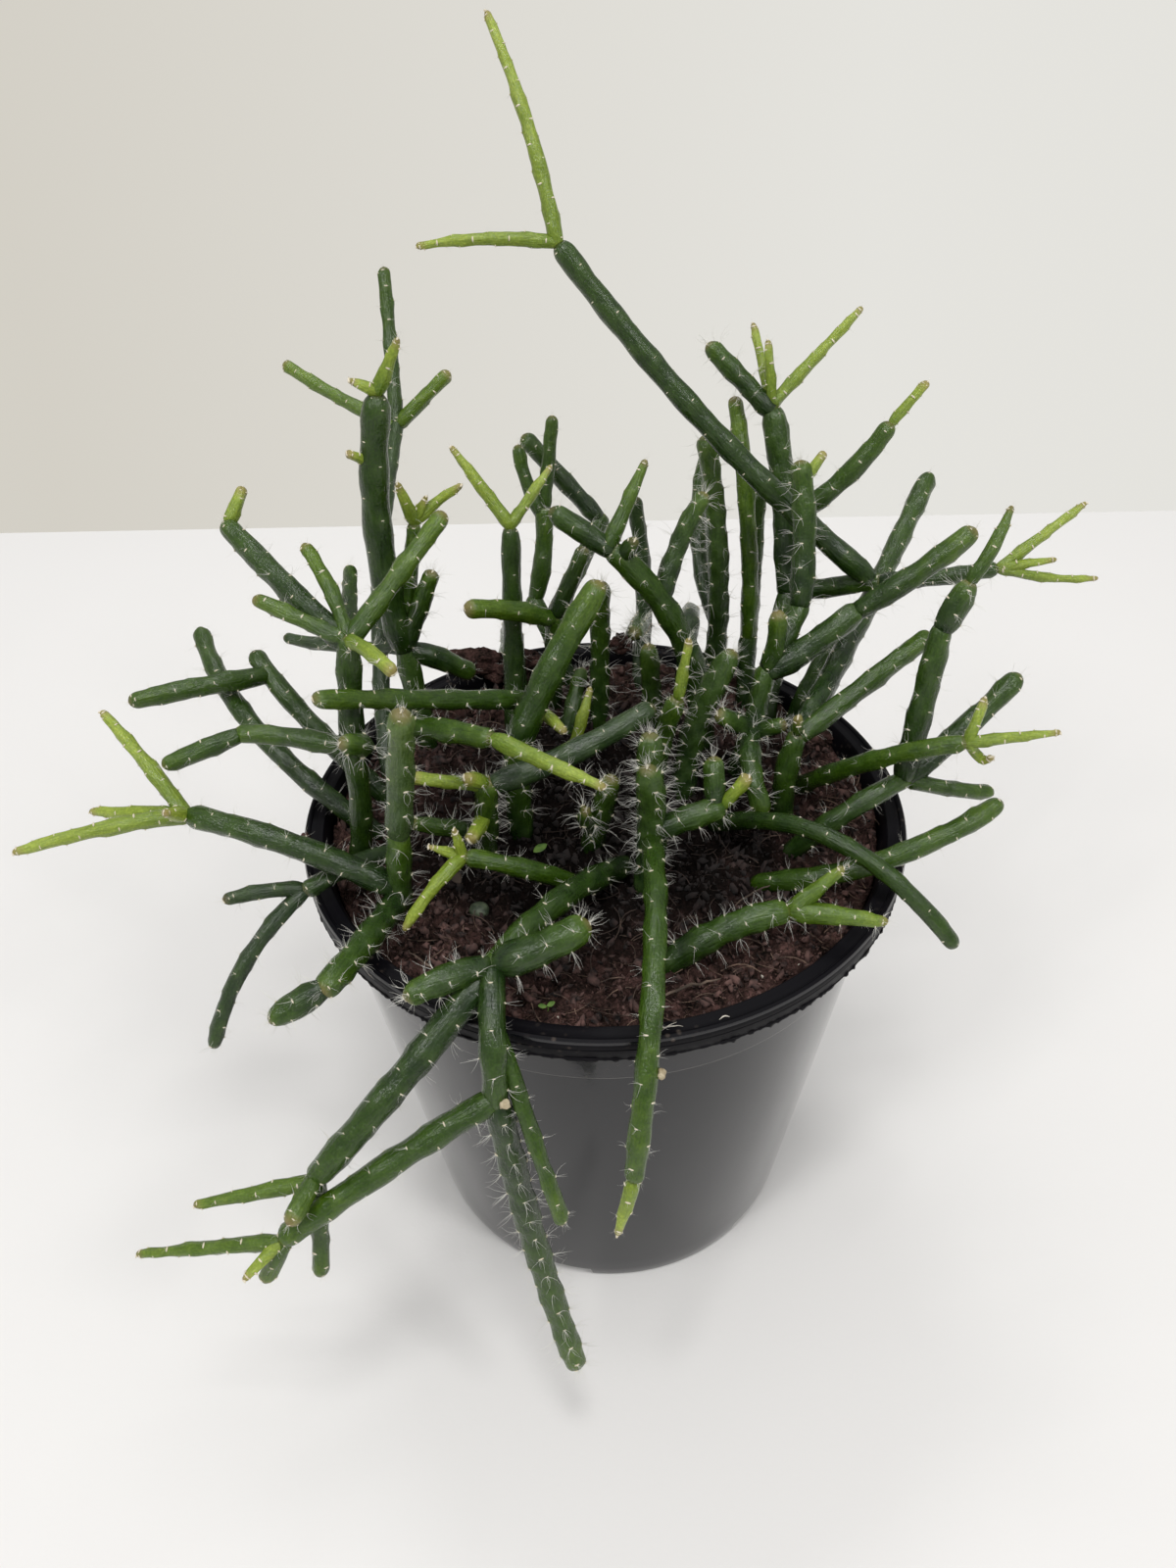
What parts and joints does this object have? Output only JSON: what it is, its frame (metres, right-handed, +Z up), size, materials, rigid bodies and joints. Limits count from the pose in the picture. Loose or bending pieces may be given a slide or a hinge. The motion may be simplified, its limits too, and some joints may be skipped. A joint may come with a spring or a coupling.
{
  "type": "potted mistletoe cactus",
  "caption": "Bushy mistletoe cactus with thin, round, jointed stems, bristly old growth and lime young shoots, standing in a tapered black nursery pot.",
  "frame": {"origin": "centre of the underside of the pot, in the plane of its floor contact", "axes": "+Z up out of the pot, -Y towards the front, where the longest trailing stems hang over the rim, +X to the right of the front"},
  "size_m": [0.209, 0.19, 0.2342],
  "materials": {
    "old_stem": "satin waxy dark green skin",
    "young_stem": "satin lime green skin",
    "pot_plastic": "satin charcoal plastic with a glossy rim",
    "peat_soil": "dull fibrous peat"
  },
  "bodies": {
    "root": {"pot": "pot_plastic", "shoot_centre_back": "young_stem", "shoot_centre_left": "young_stem", "shoot_hanging": "young_stem", "shoot_inner": "young_stem", "shoot_left_low": "young_stem", "shoot_low_centre": "young_stem", "shoot_right_upright": "young_stem", "shoots_centre_front": "young_stem", "shoots_centre_tall": "young_stem", "shoots_front_right": "young_stem", "shoots_left_front": "young_stem", "shoots_lowest": "young_stem", "shoots_right_crossing": "young_stem", "shoots_right_far": "young_stem", "shoots_tall_middle": "young_stem", "shoots_thick_stem": "young_stem", "shoots_thin_stem": "young_stem", "shoots_topmost": "young_stem", "soil": "peat_soil", "stem_back_blurred": "old_stem", "stem_back_low": "old_stem", "stem_back_short": "old_stem", "stem_behind_left": "old_stem", "stem_behind_right": "old_stem", "stem_centre_front_left": "old_stem", "stem_centre_tall": "old_stem", "stem_front_right": "old_stem", "stem_inner_hairy": "old_stem", "stem_inner_thin": "old_stem", "stem_left_long": "old_stem", "stem_low_stub": "old_stem", "stem_right_arching": "old_stem", "stem_right_back_low": "old_stem", "stem_right_crossing": "old_stem", "stem_right_front": "old_stem", "stems_back_far": "old_stem", "stems_back_forked": "old_stem", "stems_back_left": "old_stem", "stems_back_upright": "old_stem", "stems_back_upright_right": "old_stem", "stems_centre_back": "old_stem", "stems_centre_front": "old_stem", "stems_centre_left": "old_stem", "stems_centre_level": "old_stem", "stems_centre_small": "old_stem", "stems_centre_thick": "old_stem", "stems_far_left": "old_stem", "stems_front_left": "old_stem", "stems_left_back": "old_stem", "stems_left_front": "old_stem", "stems_left_tall": "old_stem", "stems_right_forked": "old_stem", "stems_right_inner": "old_stem", "stems_right_leaning": "old_stem", "stems_tallest": "old_stem"}
  },
  "joints": []
}
